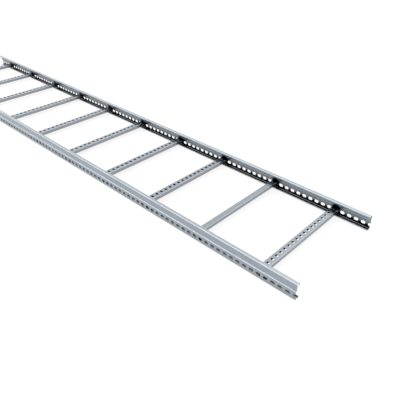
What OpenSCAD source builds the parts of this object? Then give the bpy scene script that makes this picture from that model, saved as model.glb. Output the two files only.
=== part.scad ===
// Cable ladder section: two mirrored side rails of folded sheet joined by slotted
// C rungs. X runs along the rails, Y across the ladder, Z up. The section lies on
// the bottom flanges of its rails, centred on the origin in X and Y. Millimetres.

/* [Section] */
// Length of the section along the rails
section_l = 3000; // [1500:100:6000]
// Clear width between the upper webs of the two rails
clear_w = 500; // [200:10:900]
// Height of the side rails
rail_h = 65.5; // [55:0.5:110]
// Sheet thickness of the rails
rail_t = 1.5; // [1:0.1:2.5]

/* [Rail profile] */
// Width of the top flange, from the upper web's outer face
top_flange_w = 14.5; // [12:0.5:30]
// Depth of the lip turned down from the top flange
top_lip_h = 8; // [6:1:15]
// Outside radius of the two top bends
top_bend_r = 3.5; // [2:0.5:5]
// Height of the outward step, at its upper face
step_z = 37; // [30:0.5:42]
// How far the lower web stands outside the upper web
step_w = 4; // [4:0.5:10]
// Outside radius of the bend below the step
step_bend_r = 2.5; // [2:0.5:2.5]
// Inside radius of the bend above the step
step_root_r = 1; // [0.5:0.5:1]
// Width of the bottom flange, from the lower web's outer face
base_flange_w = 20; // [14:0.5:40]
// Height of the lip turned up from the bottom flange
base_lip_h = 6; // [5:0.5:12]
// Outside radius of the two bottom bends
base_bend_r = 3.5; // [2:0.5:4.5]

/* [Rail slots] */
// Distance between slot centres along the rail
rail_slot_pitch = 30; // [25:5:50]
// Overall length of one slot
rail_slot_l = 19; // [15:0.5:24]
// Height of one slot
rail_slot_h = 13; // [7:0.5:14]
// Height of the slot centres above the floor
rail_slot_z = 18.5; // [15:0.5:22]

/* [Rungs] */
// Distance from a rail end to the centre of the nearest rung
rung_end_l = 150; // [60:10:300]
// Width of a slotted rung along the rails
rung_w = 32.5; // [25:0.5:50]
// Height of a slotted rung
rung_h = 18; // [12:0.5:22]
// Sheet thickness of the rungs
rung_t = 1.5; // [1:0.1:2.5]
// Drop from the step's upper face to the rung tops
rung_drop = 4.5; // [3:0.5:8]
// Width of the lips folded inward under a rung, from its side's outer face
rung_lip_w = 6.5; // [4.5:0.5:9]
// Outside radius of the four rung bends
rung_bend_r = 3; // [2:0.5:4]
// Overall length of one rung slot, across the rung
rung_slot_l = 14; // [12:0.5:20]
// Width of one rung slot
rung_slot_w = 10; // [5:0.5:11]
// Number of slots in a rung, spread evenly over the clear width
rung_slots = 19; // [3:1:31]
// Width of the plain rung along the rails
plain_w = 26; // [20:1:40]
// Height of the plain rung
plain_h = 16; // [12:1:20]

/* [Hidden] */
$fn = 24;
eps = 1;
half_l = section_l / 2;
half_w = clear_w / 2 + rail_t + step_w;
rung_len = 2 * (half_w - rail_t);
rung_top = step_z - rung_drop;
rungs = 10;
rung_pitch = (section_l - 2 * rung_end_l) / (rungs - 1);
rung_x0 = half_l - rung_end_l;
rung_slot_pitch = clear_w / (rung_slots + 1);
rail_slot_n = round(section_l / rail_slot_pitch);
galvanised = [0.66, 0.69, 0.72];
galvanised_rung = [0.72, 0.75, 0.78];

// One quarter of a bend, in the quadrant that sx and sy point to.
module bend(cx, cy, r, t, sx, sy) {
    translate([cx, cy])
        intersection() {
            difference() {
                circle(r = r);
                circle(r = r - t);
            }
            translate([sx > 0 ? 0 : -r, sy > 0 ? 0 : -r])
                square(r);
        }
}

// Straight piece of sheet from one corner to the opposite one.
module strip(x0, y0, x1, y1) {
    translate([x0, y0])
        square([x1 - x0, y1 - y0]);
}

// Rail section: first axis inward from the lower web's outer face, second up.
module rail_profile() {
    t = rail_t;
    lip_top_u = step_w + top_flange_w;
    root_out_r = step_root_r + t;
    // Bottom lip, flange and lower web
    strip(base_flange_w - t, base_bend_r, base_flange_w, base_lip_h);
    bend(base_flange_w - base_bend_r, base_bend_r, base_bend_r, t, 1, -1);
    strip(base_bend_r, 0, base_flange_w - base_bend_r, t);
    bend(base_bend_r, base_bend_r, base_bend_r, t, -1, -1);
    strip(0, base_bend_r, t, step_z - step_bend_r);
    // Outward step
    bend(step_bend_r, step_z - step_bend_r, step_bend_r, t, -1, 1);
    strip(step_bend_r, step_z - t, step_w - step_root_r, step_z);
    bend(step_w - step_root_r, step_z + step_root_r, root_out_r, t, 1, -1);
    // Upper web, top flange and its lip
    strip(step_w, step_z + step_root_r, step_w + t, rail_h - top_bend_r);
    bend(step_w + top_bend_r, rail_h - top_bend_r, top_bend_r, t, -1, 1);
    strip(step_w + top_bend_r, rail_h - t, lip_top_u - top_bend_r, rail_h);
    bend(lip_top_u - top_bend_r, rail_h - top_bend_r, top_bend_r, t, 1, 1);
    strip(lip_top_u - t, rail_h - top_lip_h, lip_top_u, rail_h - top_bend_r);
}

// Slot through the lower web, long along X, rounded at both ends.
module rail_slot(x) {
    reach = (rail_slot_l - rail_slot_h) / 2;
    for (s = [-1, 1])
        translate([x + s * reach, 0, rail_slot_z])
            rotate([90, 0, 0])
                cylinder(d = rail_slot_h, h = 2 * (rail_t + eps), center = true);
    translate([x - reach, -rail_t - eps, rail_slot_z - rail_slot_h / 2])
        cube([2 * reach, 2 * (rail_t + eps), rail_slot_h]);
}

// One side rail with the lower web's outer face on the plane y = 0, inside toward +Y.
module rail() {
    difference() {
        rotate([90, 0, 90])
            linear_extrude(height = section_l, center = true)
                rail_profile();
        for (i = [0 : rail_slot_n])
            rail_slot(i * rail_slot_pitch - half_l);
    }
}

module side_rail_left() {
    color(galvanised)
        translate([0, half_w, 0])
            mirror([0, 1, 0])
                rail();
}

module side_rail_right() {
    color(galvanised)
        translate([0, -half_w, 0])
            rail();
}

// C section with lips at its open bottom and its top face at height zero.
module c_profile(w, h) {
    strip(rung_bend_r - w / 2, -rung_t, w / 2 - rung_bend_r, 0);
    for (side = [0, 1])
        mirror([side, 0]) {
            bend(w / 2 - rung_bend_r, -rung_bend_r, rung_bend_r, rung_t, 1, 1);
            strip(w / 2 - rung_t, rung_bend_r - h, w / 2, -rung_bend_r);
            bend(w / 2 - rung_bend_r, rung_bend_r - h, rung_bend_r, rung_t, 1, -1);
            strip(w / 2 - rung_lip_w, -h, w / 2 - rung_bend_r, rung_t - h);
        }
}

module c_channel(w, h) {
    rotate([90, 0, 0])
        linear_extrude(height = rung_len, center = true)
            c_profile(w, h);
}

// Slot through the top of a rung, long across the rung.
module rung_slot(y) {
    reach = (rung_slot_l - rung_slot_w) / 2;
    for (s = [-1, 1])
        translate([s * reach, y, 0])
            cylinder(d = rung_slot_w, h = 2 * (rung_t + eps), center = true);
    translate([-reach, y - rung_slot_w / 2, -rung_t - eps])
        cube([2 * reach, rung_slot_w, 2 * (rung_t + eps)]);
}

module slotted_rung(n) {
    color(galvanised_rung)
        translate([rung_x0 - (n - 1) * rung_pitch, 0, rung_top])
            difference() {
                c_channel(rung_w, rung_h);
                for (i = [0 : rung_slots - 1])
                    rung_slot((i - (rung_slots - 1) / 2) * rung_slot_pitch);
            }
}

module plain_rung(n) {
    color(galvanised_rung)
        translate([rung_x0 - (n - 1) * rung_pitch, 0, rung_top])
            c_channel(plain_w, plain_h);
}

side_rail_left();
side_rail_right();
slotted_rung(1);  // rung_01
plain_rung(2);  // rung_02
slotted_rung(3);  // rung_03
slotted_rung(4);  // rung_04
slotted_rung(5);  // rung_05
slotted_rung(6);  // rung_06
slotted_rung(7);  // rung_07
slotted_rung(8);  // rung_08
slotted_rung(9);  // rung_09
slotted_rung(10);  // rung_10
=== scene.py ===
import math
import bmesh
import bpy
from mathutils import Matrix, Vector


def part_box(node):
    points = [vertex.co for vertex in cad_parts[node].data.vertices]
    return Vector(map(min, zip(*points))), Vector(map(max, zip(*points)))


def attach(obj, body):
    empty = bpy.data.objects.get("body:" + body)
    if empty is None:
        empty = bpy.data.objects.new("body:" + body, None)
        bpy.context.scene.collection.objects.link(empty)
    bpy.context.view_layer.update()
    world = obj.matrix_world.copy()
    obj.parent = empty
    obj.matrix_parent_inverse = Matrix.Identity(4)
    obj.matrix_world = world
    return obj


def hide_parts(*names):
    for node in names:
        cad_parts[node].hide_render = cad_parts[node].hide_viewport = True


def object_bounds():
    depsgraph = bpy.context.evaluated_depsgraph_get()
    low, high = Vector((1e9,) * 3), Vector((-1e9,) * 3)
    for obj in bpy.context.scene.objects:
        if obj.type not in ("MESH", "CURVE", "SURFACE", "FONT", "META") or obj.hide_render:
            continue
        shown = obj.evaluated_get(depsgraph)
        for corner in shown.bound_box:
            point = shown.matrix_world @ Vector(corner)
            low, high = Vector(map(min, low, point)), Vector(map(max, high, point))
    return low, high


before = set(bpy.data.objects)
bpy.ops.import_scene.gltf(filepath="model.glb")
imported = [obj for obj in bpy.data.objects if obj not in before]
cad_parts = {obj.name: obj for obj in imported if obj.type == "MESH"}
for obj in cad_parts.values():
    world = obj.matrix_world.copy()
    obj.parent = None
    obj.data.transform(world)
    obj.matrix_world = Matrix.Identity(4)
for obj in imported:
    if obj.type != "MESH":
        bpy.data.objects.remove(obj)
cadLow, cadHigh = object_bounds()
scene = bpy.context.scene
scene.view_settings.view_transform = "Standard"
mm = 0.001


# Nodes and colours

def hexColor(code):
    # sRGB hex to the linear colour that the sockets want
    parts = [int(code[i:i + 2], 16) / 255 for i in (1, 3, 5)]
    return [*(c / 12.92 if c <= 0.04045 else ((c + 0.055) / 1.055) ** 2.4 for c in parts), 1]


def addNode(tree, kind, values=None, links=None, **settings):
    # values and links are keyed by the socket's name or number
    node = tree.nodes.new(kind)
    for name, value in settings.items():
        setattr(node, name, value)
    for key, value in (values or {}).items():
        node.inputs[key].default_value = value
    for key, source in (links or {}).items():
        tree.links.new(source, node.inputs[key])
    return node


def emptyMaterial(name):
    material = bpy.data.materials.new(name)
    material.use_nodes = True
    material.node_tree.nodes.clear()
    return material


# Hot-dip galvanised sheet: a dipped zinc coat, satin, with soft crystals (spangle)
# that differ a little in lightness and gloss, and faint clouds where it ran off

# Both looks carry painted shade in their colour: darker folds, corners, punched edges and rung ends
zincRail = {
    "name": "hotDipZincRail",
    "light": "#A2A9AF",
    "dark": "#9198A0",
    "roughness": 0.24,
    "smoother": 0.05,        # how far the glossiest crystals go below that
    "rougher": 0.07,         # and the dullest above it
    "crystal": 9 * mm,       # spangle width
    "crystalShare": 0.45,    # how much the crystals change the tone
    "cloud": 140 * mm,       # drain clouds
    "cloudShare": 0.55,      # and how much the clouds do
    "grain": 1.4 * mm,       # fine satin grain, drawn coarser than real so it shows
    "grainHeight": 0.5,      # against the crystals' height
    "bump": 0.05 * mm,
    "bumpStrength": 0.25,
    "reach": 60 * mm,        # how far a corner looks for its own walls
    "closed": 0.66,          # open sky share at which the painted corner shade is full
    "open": 0.97,            # and at which there is no painted shade
    "deepest": 0.04,         # what is left of the colour in the most shaded corner, as painted shade
}
zincRung = {
    **zincRail,
    "name": "hotDipZincRung",
    "light": "#979CA2",
    "dark": "#878D93",
    "crystal": 7 * mm,
}

# Where shade is painted into the zinc's colour, measured from the ladder's middle line and from the floor
paintedShade = {
    "step": 36.2 * mm,        # under this height the web stands further out,
    "stepOut": 4 * mm,        # by this much
    "upperSkin": 250.8 * mm,  # inside the upper web's sheet, between its two sides
    "slopeFrom": 0.3,         # upward share of the normal at which a face begins to count as flat
    "slopeTo": 0.7,
    "onFlats": 0.55,          # how much of the painted shade stays on the flats
    "webMiddle": 254.75 * mm, # middle of the lower web's sheet
    "slotLine": 18.5 * mm,
    "rungMiddle": 31.75 * mm, # middle of the rung's top sheet
    "cutDepth": 0.55 * mm,    # half the depth of a punched edge
    "cutReach": 8 * mm,       # how far from the slots' line it is looked for
    "cutEdge": 0.15,          # what is left of the colour there
    "rungPitch": 300 * mm,
    "rungTop": 32.5 * mm,
    "halfWidth": 21 * mm,     # size of the painted shade over a rung's end
    "height": 18 * mm,
    "rungEndShadeCore": 0.6,          # full up to this share of that size,
    "rungEndShadeEdge": 1.15,         # and gone at this one
    "rungFrom": 227 * mm,     # on the rung it starts here
    "rungTo": 243 * mm,       # and is full here
    "strength": 0.96,
}


def slotEdgeShade(tree, depth, middle, place, line, before):
    # painted shade: darkens the punched edges, which lie within the sheet and near the slots' line
    within = addNode(tree, "ShaderNodeMath", {1: middle, 2: paintedShade["cutDepth"]}, {0: depth},
                     operation="COMPARE")
    near = addNode(tree, "ShaderNodeMath", {1: line, 2: paintedShade["cutReach"]}, {0: place}, operation="COMPARE")
    cut = addNode(tree, "ShaderNodeMath", links={0: within.outputs[0], 1: near.outputs[0]},
                  operation="MULTIPLY")
    punched = addNode(tree, "ShaderNodeMapRange", {3: 1, 4: paintedShade["cutEdge"]}, {0: cut.outputs[0]})
    left = addNode(tree, "ShaderNodeMath", links={0: before, 1: punched.outputs[0]}, operation="MULTIPLY")
    return left.outputs[0]


def railPaintedShade(tree, where, cornerShadeKeep):
    # Painted shade: inside the rail the folds and corners are darkened, and a dark patch of painted shade
    # stands over each rung's end.
    # The outer side gets none of it, upward flats get less of it, and the slots' punched edges are darkened
    # as painted shade too.
    xyz = addNode(tree, "ShaderNodeSeparateXYZ", links={0: where}).outputs
    normal = addNode(tree, "ShaderNodeNewGeometry").outputs["Normal"]
    facing = addNode(tree, "ShaderNodeSeparateXYZ", links={0: normal})
    out = addNode(tree, "ShaderNodeMath", links={0: xyz[1]}, operation="ABSOLUTE")
    below = addNode(tree, "ShaderNodeMath", {1: paintedShade["step"]}, {0: xyz[2]}, operation="LESS_THAN")
    skin = addNode(tree, "ShaderNodeMath", {1: paintedShade["stepOut"], 2: paintedShade["upperSkin"]},
                   {0: below.outputs[0]}, operation="MULTIPLY_ADD")
    inner = addNode(tree, "ShaderNodeMath", links={0: out.outputs[0], 1: skin.outputs[0]},
                    operation="LESS_THAN")
    # painted shade is weaker on faces that point up
    level = addNode(tree, "ShaderNodeMapRange",
                    {1: paintedShade["slopeFrom"], 2: paintedShade["slopeTo"], 3: 1, 4: paintedShade["onFlats"]},
                    {0: facing.outputs[2]})
    insideShade = addNode(tree, "ShaderNodeMath", links={0: inner.outputs[0], 1: level.outputs[0]},
                   operation="MULTIPLY")
    # painted shade over each rung's end, repeated at the rung pitch
    wave = addNode(tree, "ShaderNodeMath", {1: paintedShade["rungPitch"] / 2}, {0: xyz[0]}, operation="PINGPONG")
    away = addNode(tree, "ShaderNodeMath", {0: paintedShade["rungPitch"] / 2}, {1: wave.outputs[0]},
                   operation="SUBTRACT")
    across = addNode(tree, "ShaderNodeMath", {1: paintedShade["halfWidth"]}, {0: away.outputs[0]},
                     operation="DIVIDE")
    over = addNode(tree, "ShaderNodeMath", {1: paintedShade["rungTop"]}, {0: xyz[2]}, operation="SUBTRACT")
    rise = addNode(tree, "ShaderNodeMath", {1: paintedShade["height"]}, {0: over.outputs[0]}, operation="DIVIDE")
    place = addNode(tree, "ShaderNodeCombineXYZ", links={0: across.outputs[0], 1: rise.outputs[0]})
    size = addNode(tree, "ShaderNodeVectorMath", links={0: place.outputs[0]}, operation="LENGTH")
    rungEndShade = addNode(tree, "ShaderNodeMapRange",
                   {1: paintedShade["rungEndShadeCore"], 2: paintedShade["rungEndShadeEdge"], 3: 1 - paintedShade["strength"], 4: 1},
                   {0: size.outputs["Value"]}, interpolation_type="SMOOTHSTEP")
    both = addNode(tree, "ShaderNodeMath", links={0: rungEndShade.outputs[0], 1: cornerShadeKeep}, operation="MULTIPLY")
    folded = addNode(tree, "ShaderNodeMix", {2: 1}, {0: insideShade.outputs[0], 3: both.outputs[0]})
    return slotEdgeShade(tree, out.outputs[0], paintedShade["webMiddle"], xyz[2], paintedShade["slotLine"],
                        folded.outputs[0])


def rungPaintedShade(tree, where, cornerShadeKeep):
    # painted shade: the hollow underside is darkened, and the painted shade over the rung ends runs on over
    # the rung's two ends
    xyz = addNode(tree, "ShaderNodeSeparateXYZ", links={0: where}).outputs
    away = addNode(tree, "ShaderNodeMath", links={0: xyz[1]}, operation="ABSOLUTE")
    # painted shade towards the rung's ends, where it meets the rails
    rungEndShade = addNode(tree, "ShaderNodeMapRange",
                   {1: paintedShade["rungFrom"], 2: paintedShade["rungTo"], 3: 1, 4: 1 - paintedShade["strength"]},
                   {0: away.outputs[0]}, interpolation_type="SMOOTHSTEP")
    both = addNode(tree, "ShaderNodeMath", links={0: rungEndShade.outputs[0], 1: cornerShadeKeep}, operation="MULTIPLY")
    wave = addNode(tree, "ShaderNodeMath", {1: paintedShade["rungPitch"] / 2}, {0: xyz[0]}, operation="PINGPONG")
    return slotEdgeShade(tree, xyz[2], paintedShade["rungMiddle"], wave.outputs[0], paintedShade["rungPitch"] / 2,
                        both.outputs[0])


def galvanised(look, paintShade):
    material = emptyMaterial(look["name"])
    tree = material.node_tree
    where = addNode(tree, "ShaderNodeTexCoord").outputs["Object"]
    warp = addNode(tree, "ShaderNodeTexNoise", {"Scale": 1 / (3 * look["crystal"]), "Detail": 2},
                   {"Vector": where})
    bent = addNode(tree, "ShaderNodeVectorMath", {1: [look["crystal"]] * 3},
                   {0: warp.outputs["Color"], 2: where}, operation="MULTIPLY_ADD")
    crystal = addNode(tree, "ShaderNodeTexVoronoi", {"Scale": 1 / look["crystal"], "Randomness": 1},
                      {"Vector": bent.outputs[0]}, voronoi_dimensions="3D", feature="F1")
    cell = addNode(tree, "ShaderNodeSeparateColor", links={"Color": crystal.outputs["Color"]})
    cloud = addNode(tree, "ShaderNodeTexNoise",
                    {"Scale": 1 / look["cloud"], "Detail": 3, "Roughness": 0.55}, {"Vector": where})
    grain = addNode(tree, "ShaderNodeTexNoise", {"Scale": 1 / look["grain"], "Detail": 2},
                    {"Vector": where})
    spangle = addNode(tree, "ShaderNodeMath", {1: look["crystalShare"]}, {0: cell.outputs[0]},
                      operation="MULTIPLY")
    tone = addNode(tree, "ShaderNodeMath", {1: look["cloudShare"]},
                   {0: cloud.outputs[0], 2: spangle.outputs[0]}, operation="MULTIPLY_ADD")
    color = addNode(tree, "ShaderNodeMix", {6: hexColor(look["dark"]), 7: hexColor(look["light"])},
                    {0: tone.outputs[0]}, data_type="RGBA")
    # painted shade: the colour is darkened in folds and corners, by how little open sky each point sees
    # within its own part
    cornerShade = addNode(tree, "ShaderNodeAmbientOcclusion", {"Distance": look["reach"]},
                    samples=16, only_local=True)
    cornerShadeKeep = addNode(tree, "ShaderNodeMapRange",
                    {1: look["closed"], 2: look["open"], 3: look["deepest"], 4: 1},
                    {0: cornerShade.outputs["AO"]}, interpolation_type="SMOOTHSTEP")
    left = paintShade(tree, where, cornerShadeKeep.outputs[0])
    # the zinc's colour times the painted shade
    coat = addNode(tree, "ShaderNodeVectorMath", links={0: color.outputs[2], "Scale": left},
                   operation="SCALE")
    rough = addNode(tree, "ShaderNodeMapRange",
                    {3: look["roughness"] - look["smoother"], 4: look["roughness"] + look["rougher"]},
                    {0: cell.outputs[1]})
    height = addNode(tree, "ShaderNodeMath", {1: look["grainHeight"]},
                     {0: grain.outputs[0], 2: cell.outputs[2]}, operation="MULTIPLY_ADD")
    bump = addNode(tree, "ShaderNodeBump", {"Strength": look["bumpStrength"], "Distance": look["bump"]},
                   {"Height": height.outputs[0]})
    shader = addNode(tree, "ShaderNodeBsdfPrincipled", {"Metallic": 1}, {
        "Base Color": coat.outputs[0], "Roughness": rough.outputs[0], "Normal": bump.outputs[0]})
    addNode(tree, "ShaderNodeOutputMaterial", links={"Surface": shader.outputs[0]})
    return material


railZinc = galvanised(zincRail, railPaintedShade)
rungZinc = galvanised(zincRung, rungPaintedShade)
print("materials made")


# Folded sheet with punched slots, as one pitch of it that Geometry Nodes repeat

def foldedSheet(profile):
    # The profile's corners are the mid line of the fold, all bends square. Returns the closed
    # outline of the sheet's section, and where the two faces of the slotted run start in it.
    radii, edge, steps = profile["radii"], profile["edge"], profile["steps"]
    mid, slotStart = [], None
    points = [Vector(c) for c in profile["corners"]]
    for i, corner in enumerate(points):
        if i in (0, len(points) - 1):
            way = (points[1] - corner if i == 0 else corner - points[-2]).normalized()
            mid.append((corner + way * (edge if i == 0 else -edge), Vector((-way.y, way.x))))
        else:
            way = (corner - points[i - 1]).normalized()
            out = (points[i + 1] - corner).normalized()
            turn = 1 if way.cross(out) > 0 else -1
            side = Vector((-way.y, way.x))
            centre = corner - way * radii[i - 1] + side * turn * radii[i - 1]
            for k in range(steps + 1):
                spin = Matrix.Rotation(turn * math.pi / 2 * k / steps, 2)
                normal = spin @ side
                mid.append((centre - normal * turn * radii[i - 1], normal))
        if i == profile["slotRun"]:
            slotStart = len(mid) - 1
    half = profile["thickness"] / 2
    left = [p + n * half for p, n in mid]
    right = [p - n * half for p, n in mid]
    ends = []
    for (p, n), corner in ((mid[-1], points[-1]), (mid[0], points[0])):
        ends.append([corner + n * (half - edge), corner - n * (half - edge)])
    outline = left + ends[0] + right[::-1] + ends[1][::-1]
    return outline, slotStart, len(outline) - 4 - slotStart


sameSpot = 1e7    # corners of two half slots are one if they agree to a ten-thousandth of a mm


def quarterSlot(halfX, halfS, arcSteps):
    # from the slot's end on the x axis round to its side on the s axis
    r = min(halfX, halfS)
    kx, ks = halfX - r, halfS - r
    arc = [(kx + r * math.cos(math.pi / 2 * i / arcSteps), ks + r * math.sin(math.pi / 2 * i / arcSteps))
           for i in range(arcSteps + 1)]
    return ([(halfX, 0)] if ks > 1e-9 else []) + arc + ([(0, halfS)] if kx > 1e-9 else [])


def halfSlot(size, grow, arcSteps, way):
    # half a slot's outline: way 0 faces +x, 1 faces +s, 2 faces -x, 3 faces -s
    q = quarterSlot(size[0] / 2 + grow, size[1] / 2 + grow, arcSteps)
    loop = (q + [(-x, s) for x, s in q[-2::-1]] + [(-x, -s) for x, s in q[1:]]
            + [(x, -s) for x, s in q[-2:0:-1]])
    n = len(q) - 1
    start = (way * n - n) % (4 * n)
    return [loop[(start + i) % (4 * n)] for i in range(2 * n + 1)]


def sheetRows(bm, outline, pitch, place, leftOut):
    # the section at both ends of the pitch, and the faces between them but for those left out
    rows = [[bm.verts.new(place(x, p)) for p in outline] for x in (-pitch / 2, pitch / 2)]
    for i in range(len(outline)):
        if i not in leftOut:
            j = (i + 1) % len(outline)
            bm.faces.new((rows[0][i], rows[1][i], rows[1][j], rows[0][j]))
    return rows


def meshObject(bm, name):
    mesh = bpy.data.meshes.new(name)
    bm.to_mesh(mesh)
    bm.free()
    return bpy.data.objects.new(name, mesh)


def punchedPitch(name, profile, place, slotOnJoint):
    # One pitch of the sheet along x, centred on x = 0. Its slot is whole in the middle, or,
    # with slotOnJoint, half at each end, so that the last one runs out at the sheet's end.
    t, b, pitch = profile["thickness"], profile["edge"], profile["pitch"]
    outline, a, c = foldedSheet(profile)
    bm = bmesh.new()
    rows = sheetRows(bm, outline, pitch, place, (a, c))
    # the slotted run: s runs from its start, and h is the height over its mid plane
    base = (outline[a] + outline[c + 1]) / 2
    along = (outline[a + 1] - outline[a]).normalized()
    up = (outline[a] - base).normalized()
    run = (outline[a + 1] - outline[a]).length

    def at(x, s, h):
        return bm.verts.new(place(x, base + along * s + up * h))

    centreS = profile["slotCentre"] if profile["slotCentre"] is not None else run / 2
    levels = ((t / 2, b), (t / 2 - b, 0), (b - t / 2, 0), (-t / 2, b))
    ways = ((-pitch / 2, 0), (pitch / 2, 2)) if slotOnJoint else ((0, 1), (0, 3))
    rings = []
    shared = {}
    for x0, way in ways:
        stack = []
        for level, (h, grow) in enumerate(levels):
            ring = []
            for dx, ds in halfSlot(profile["slot"], grow, profile["arcSteps"], way):
                key = (round((x0 + dx) * sameSpot), round(ds * sameSpot), level)
                if key not in shared:
                    shared[key] = at(x0 + dx, centreS + ds, h)
                ring.append(shared[key])
            stack.append(ring)
        rings.append(stack)
        for low, high in zip(stack, stack[1:]):
            for k in range(len(low) - 1):
                bm.faces.new((low[k], low[k + 1], high[k + 1], high[k]))
    for level, first in ((0, a), (3, c)):
        lo, hi = (first, first + 1) if level == 0 else (first + 1, first)
        l0, l1, r0, r1 = rows[0][lo], rows[0][hi], rows[1][lo], rows[1][hi]
        if slotOnJoint:
            bm.faces.new([l0, r0] + rings[1][level][::-1] + [r1, l1] + rings[0][level][::-1])
        else:
            h = levels[level][0]
            midL, midR = at(-pitch / 2, centreS, h), at(pitch / 2, centreS, h)
            bm.faces.new([l0, r0, midR] + rings[1][level][::-1] + [midL])
            bm.faces.new([r1, l1, midL] + rings[0][level][::-1] + [midR])
    return meshObject(bm, name)


def plainPitch(name, profile, place):
    outline, _, _ = foldedSheet(profile)
    bm = bmesh.new()
    sheetRows(bm, outline, profile["pitch"], place, ())
    return meshObject(bm, name)


joint = {
    "weld": 0.01 * mm,       # corners this close become one
    "endBand": 0.05 * mm,    # corners this close to the row's ends are drawn to the length
}


def repeatTree():
    # Repeats one pitch along x, welds the joints and draws the two ends out to the length
    tree = bpy.data.node_groups.new("repeatPitch", "GeometryNodeTree")
    face = tree.interface
    names = {}
    for name, kind in (("Geometry", "NodeSocketGeometry"), ("Count", "NodeSocketInt"),
                       ("Pitch", "NodeSocketFloat"), ("Length", "NodeSocketFloat"),
                       ("Material", "NodeSocketMaterial")):
        names[name] = face.new_socket(name, in_out="INPUT", socket_type=kind).identifier
    face.new_socket("Geometry", in_out="OUTPUT", socket_type="NodeSocketGeometry")
    given = addNode(tree, "NodeGroupInput").outputs
    span = addNode(tree, "ShaderNodeMath", links={0: given["Count"], 1: given["Pitch"]},
                   operation="MULTIPLY")
    shift = addNode(tree, "ShaderNodeMath", {1: -0.5}, {0: span.outputs[0]}, operation="MULTIPLY")
    first = addNode(tree, "ShaderNodeMath", {1: 0.5}, {0: given["Pitch"], 2: shift.outputs[0]},
                    operation="MULTIPLY_ADD")
    start = addNode(tree, "ShaderNodeCombineXYZ", links={0: first.outputs[0]})
    step = addNode(tree, "ShaderNodeCombineXYZ", links={0: given["Pitch"]})
    line = addNode(tree, "GeometryNodeMeshLine", links={
        "Count": given["Count"], "Start Location": start.outputs[0], "Offset": step.outputs[0]})
    placed = addNode(tree, "GeometryNodeInstanceOnPoints",
                     links={"Points": line.outputs[0], "Instance": given["Geometry"]})
    real = addNode(tree, "GeometryNodeRealizeInstances", links={0: placed.outputs[0]})
    welded = addNode(tree, "GeometryNodeMergeByDistance", {"Distance": joint["weld"]},
                     {"Geometry": real.outputs[0]})
    spot = addNode(tree, "GeometryNodeInputPosition")
    xyz = addNode(tree, "ShaderNodeSeparateXYZ", links={0: spot.outputs[0]})
    size = addNode(tree, "ShaderNodeMath", links={0: xyz.outputs[0]}, operation="ABSOLUTE")
    limit = addNode(tree, "ShaderNodeMath", {1: 0.5, 2: -joint["endBand"]}, {0: span.outputs[0]},
                    operation="MULTIPLY_ADD")
    outer = addNode(tree, "ShaderNodeMath", links={0: size.outputs[0], 1: limit.outputs[0]},
                    operation="GREATER_THAN")
    sign = addNode(tree, "ShaderNodeMath", links={0: xyz.outputs[0]}, operation="SIGN")
    reach = addNode(tree, "ShaderNodeMath", {1: 0.5}, {0: given["Length"]}, operation="MULTIPLY")
    endX = addNode(tree, "ShaderNodeMath", links={0: sign.outputs[0], 1: reach.outputs[0]},
                   operation="MULTIPLY")
    end = addNode(tree, "ShaderNodeCombineXYZ",
                  links={0: endX.outputs[0], 1: xyz.outputs[1], 2: xyz.outputs[2]})
    drawn = addNode(tree, "GeometryNodeSetPosition", links={
        "Geometry": welded.outputs[0], "Selection": outer.outputs[0], "Position": end.outputs[0]})
    painted = addNode(tree, "GeometryNodeSetMaterial",
                      links={"Geometry": drawn.outputs[0], "Material": given["Material"]})
    addNode(tree, "NodeGroupOutput", links={0: painted.outputs[0]})
    return tree, names


repeatPitch, pitchInput = repeatTree()


def plainMesh(thing, name):
    # what the modifiers make, as a plain mesh
    graph = bpy.context.evaluated_depsgraph_get()
    mesh = bpy.data.meshes.new_from_object(thing.evaluated_get(graph), depsgraph=graph)
    mesh.name = name
    return mesh


def repeated(unit, count, pitch, length, material):
    unit.data.materials.append(material)
    scene.collection.objects.link(unit)
    nodes = unit.modifiers.new("repeat", "NODES")
    nodes.node_group = repeatPitch
    for key, value in (("Count", count), ("Pitch", pitch), ("Length", length), ("Material", material)):
        nodes[pitchInput[key]] = value
    mesh = plainMesh(unit, unit.name + "Mesh")
    bpy.data.objects.remove(unit)
    return mesh


def closedSheet(mesh, name, edge):
    # closes the sheet's two ends, then rounds those edges and evens the shading
    bm = bmesh.new()
    bm.from_mesh(mesh)
    weight = bm.edges.layers.float.new("bevel_weight_edge")
    rims = [e for e in bm.edges if e.is_boundary]
    caps = bmesh.ops.holes_fill(bm, edges=rims, sides=0)["faces"]
    for face in caps:
        for e in face.edges:
            e[weight] = 1
    bmesh.ops.recalc_face_normals(bm, faces=bm.faces)
    for face in bm.faces:
        face.smooth = True
    openEdges = sum(1 for e in bm.edges if not e.is_manifold)
    bm.to_mesh(mesh)
    bm.free()
    piece = bpy.data.objects.new(name, mesh)
    scene.collection.objects.link(piece)
    rounded = piece.modifiers.new("edges", "BEVEL")
    rounded.width = edge
    rounded.segments = 1
    rounded.limit_method = "WEIGHT"
    even = piece.modifiers.new("shading", "WEIGHTED_NORMAL")
    even.mode = "FACE_AREA"
    even.weight = 100        # wide faces lead
    final = plainMesh(piece, name)
    piece.modifiers.clear()
    piece.data = final
    print(name, len(caps), "end faces,", openEdges, "open edges,", len(final.polygons), "faces")
    return piece


# Side rails

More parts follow.
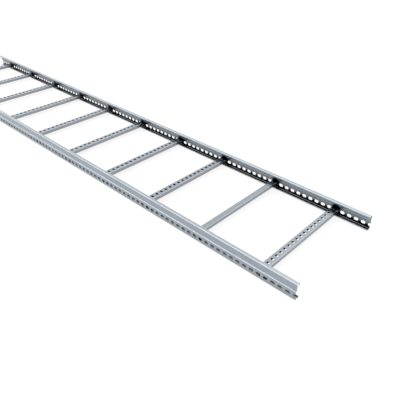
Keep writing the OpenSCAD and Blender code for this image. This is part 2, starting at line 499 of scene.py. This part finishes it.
railLow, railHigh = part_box("side_rail_left")
rail = {
    "thickness": 1.5 * mm,
    "edge": 0.3 * mm,        # rounding that the zinc leaves on cut edges
    "steps": 5,              # faces in one bend
    "arcSteps": 5,           # faces in a quarter of a slot
    "baseFlange": 20 * mm,
    "baseLip": 6 * mm,
    "baseBend": 3.5 * mm,
    "stepHeight": 37 * mm,
    "stepOut": 4 * mm,
    "stepBend": 2.5 * mm,
    "stepRoot": 1 * mm,
    "topFlange": 14.5 * mm,
    "topLip": 8 * mm,
    "topBend": 3.5 * mm,
    "pitch": 30 * mm,
    "slot": (19 * mm, 13 * mm),
    "slotHeight": 18.5 * mm,
}
half = rail["thickness"] / 2
top = railHigh.z
rail["corners"] = [
    (rail["baseFlange"] - half, rail["baseLip"]),
    (rail["baseFlange"] - half, half),
    (half, half),
    (half, rail["stepHeight"] - half),
    (rail["stepOut"] + half, rail["stepHeight"] - half),
    (rail["stepOut"] + half, top - half),
    (rail["stepOut"] + rail["topFlange"] - half, top - half),
    (rail["stepOut"] + rail["topFlange"] - half, top - rail["topLip"]),
]
rail["radii"] = [rail["baseBend"] - half, rail["baseBend"] - half, rail["stepBend"] - half,
                 rail["stepRoot"] + half, rail["topBend"] - half, rail["topBend"] - half]
rail["slotRun"] = 2
rail["slotCentre"] = rail["slotHeight"] - rail["baseBend"]

railLength = railHigh.x - railLow.x
webY = railHigh.y


def sideRail(name, node, side):
    unit = punchedPitch(name + "Pitch", rail, lambda x, p: (x, side * (webY - p.x), p.y), True)
    mesh = repeated(unit, round(railLength / rail["pitch"]), rail["pitch"], railLength, railZinc)
    piece = closedSheet(mesh, name, rail["edge"])
    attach(piece, "root")
    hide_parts(node)


sideRail("railLeft", "side_rail_left", 1)
sideRail("railRight", "side_rail_right", -1)
print("side rails made")


# Rungs

rung = {
    "thickness": 1.5 * mm,
    "edge": 0.3 * mm,
    "steps": 5,
    "arcSteps": 5,
    "bend": 3 * mm,
    "lip": 6.5 * mm,         # turned in under the rung
    "pitch": 25 * mm,
    "slots": 19,
    "slot": (10 * mm, 14 * mm),
    "count": 10,
    "plain": 2,              # this rung has no slots
}


def rungSection(width, height):
    t = rung["thickness"] / 2
    w = width / 2 - t
    section = dict(rung)
    section["corners"] = [(width / 2 - rung["lip"], t - height), (w, t - height), (w, -t), (-w, -t),
                          (-w, t - height), (rung["lip"] - width / 2, t - height)]
    section["radii"] = [rung["bend"] - t] * 4
    section["slotRun"] = 2
    section["slotCentre"] = None
    return section


def alongX(x, p):
    return x, p.x, p.y


def makeRung(number):
    node = "rung_%02d" % number
    low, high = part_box(node)
    width, length, height = high - low
    section = rungSection(width, height)
    name = "rung%02d" % number
    if number == rung["plain"]:
        section["pitch"] = length
        unit = plainPitch(name + "Pitch", section, alongX)
        mesh = repeated(unit, 1, length, length, rungZinc)
    else:
        unit = punchedPitch(name + "Pitch", section, alongX, False)
        mesh = repeated(unit, section["slots"], section["pitch"], length, rungZinc)
    centre = (low + high) / 2
    mesh.transform(Matrix.Translation((centre.x, centre.y, high.z)) @ Matrix.Rotation(math.pi / 2, 4, "Z"))
    piece = closedSheet(mesh, name, section["edge"])
    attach(piece, "root")
    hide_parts(node)


for number in range(1, rung["count"] + 1):
    makeRung(number)
print("rungs made")


# Floor, world and lamps

stageSet = {
    "floor": 60.0,
    "drop": 0.2 * mm,        # the floor lies this far under the rails
    "floorWhite": "#F2F2F2",
    "glow": 0.80,            # the part of the seen floor that is plain white,
    "shade": 0.15,           # and the part that takes a shadow
}


def whiteFloor():
    # seen directly or in a mirror it is nearly plain white, and it lights the ladder like painted board
    material = emptyMaterial("studioFloor")
    tree = material.node_tree
    ray = addNode(tree, "ShaderNodeLightPath").outputs
    seen = addNode(tree, "ShaderNodeMath", links={0: ray["Is Camera Ray"], 1: ray["Is Glossy Ray"]},
                   operation="MAXIMUM")
    seen = addNode(tree, "ShaderNodeMath", links={0: seen.outputs[0], 1: ray["Is Transmission Ray"]},
                   operation="MAXIMUM")
    paint = addNode(tree, "ShaderNodeBsdfDiffuse", {"Color": hexColor(stageSet["floorWhite"])})
    shade = stageSet["shade"]
    faint = addNode(tree, "ShaderNodeBsdfDiffuse", {"Color": (shade, shade, shade, 1)})
    glow = addNode(tree, "ShaderNodeEmission", {"Color": (1, 1, 1, 1), "Strength": stageSet["glow"]})
    shown = addNode(tree, "ShaderNodeAddShader", links={0: faint.outputs[0], 1: glow.outputs[0]})
    mix = addNode(tree, "ShaderNodeMixShader",
                  links={0: seen.outputs[0], 1: paint.outputs[0], 2: shown.outputs[0]})
    addNode(tree, "ShaderNodeOutputMaterial", links={"Surface": mix.outputs[0]})
    return material


bm = bmesh.new()
bmesh.ops.create_grid(bm, x_segments=1, y_segments=1, size=stageSet["floor"] / 2)
floor = meshObject(bm, "floor")
floor.data.transform(Matrix.Translation((0, 0, cadLow.z - stageSet["drop"])))
floor.data.materials.append(whiteFloor())
scene.collection.objects.link(floor)

# wide soft light, a little brighter low down, with two soft boxes given by their direction
skySet = {
    "low": 1.5,              # light from near the horizon
    "high": 1.25,            # and from overhead
    "rampFrom": 0.25,        # how steep the direction is where one begins to pass into the other,
    "rampTo": 0.75,          # and where it has
    "boxes": [
        {"at": (-0.5, -0.58, 0.64), "edge": 0.72, "core": 0.9, "light": 1.35},
        {"at": (0.12, 0.6, 0.79), "edge": 0.84, "core": 0.96, "light": 1.3},
    ],
}
world = bpy.data.worlds.new("studio")
scene.world = world
world.use_nodes = True
sky = world.node_tree
sky.nodes.clear()
skyRay = addNode(sky, "ShaderNodeLightPath").outputs
skyWay = addNode(sky, "ShaderNodeTexCoord").outputs["Generated"]
skyUp = addNode(sky, "ShaderNodeSeparateXYZ", links={0: skyWay})
skyTone = addNode(sky, "ShaderNodeMapRange", {
    1: skySet["rampFrom"], 2: skySet["rampTo"], 3: skySet["low"], 4: skySet["high"]}, {0: skyUp.outputs[2]})
skySum = skyTone
for box in skySet["boxes"]:
    nearBox = addNode(sky, "ShaderNodeVectorMath", {1: Vector(box["at"]).normalized()}, {0: skyWay},
                      operation="DOT_PRODUCT")
    boxTone = addNode(sky, "ShaderNodeMapRange", {1: box["edge"], 2: box["core"], 3: 0, 4: box["light"]},
                      {0: nearBox.outputs["Value"]}, interpolation_type="SMOOTHSTEP")
    skySum = addNode(sky, "ShaderNodeMath", links={0: skySum.outputs[0], 1: boxTone.outputs[0]},
                     operation="ADD")
skyLight = addNode(sky, "ShaderNodeBackground", {"Color": (1, 1, 1, 1)}, {"Strength": skySum.outputs[0]})
skyShown = addNode(sky, "ShaderNodeBackground", {"Color": (1, 1, 1, 1), "Strength": 1})
skyMix = addNode(sky, "ShaderNodeMixShader",
                 links={0: skyRay["Is Camera Ray"], 1: skyLight.outputs[0], 2: skyShown.outputs[0]})
addNode(sky, "ShaderNodeOutputWorld", links={"Surface": skyMix.outputs[0]})

lamps = [
    {"name": "overheadSoftbox", "at": (0.2, 0.4, 3.2), "to": (0.1, 0, 0), "size": (3.6, 2.4), "power": 10},
]
for lamp in lamps:
    light = bpy.data.lights.new(lamp["name"], "AREA")
    light.shape = "RECTANGLE"
    light.size, light.size_y = lamp["size"]
    light.energy = lamp["power"]
    holder = bpy.data.objects.new(lamp["name"], light)
    holder.location = lamp["at"]
    aim = Vector(lamp["to"]) - Vector(lamp["at"])
    holder.rotation_euler = aim.to_track_quat("-Z", "Y").to_euler()
    scene.collection.objects.link(holder)
print("stage and lamps made")


# Camera

shot = {
    "at": (1.9760, -1.1631, 1.0620),
    "azimuth": 43.0,
    "elevation": 35.53,
    "lens": 38.06,
    "sensor": 36,
    "clip": (0.01, 100),
}
turn, tilt = math.radians(shot["azimuth"]), math.radians(shot["elevation"])
ahead = Vector((-math.sin(turn) * math.cos(tilt), math.cos(turn) * math.cos(tilt), -math.sin(tilt)))
lens = bpy.data.cameras.new("camera")
lens.lens = shot["lens"]
lens.sensor_width = shot["sensor"]
lens.clip_start, lens.clip_end = shot["clip"]
camera = bpy.data.objects.new("camera", lens)
camera.location = shot["at"]
camera.rotation_euler = ahead.to_track_quat("-Z", "Y").to_euler()
scene.collection.objects.link(camera)
scene.camera = camera
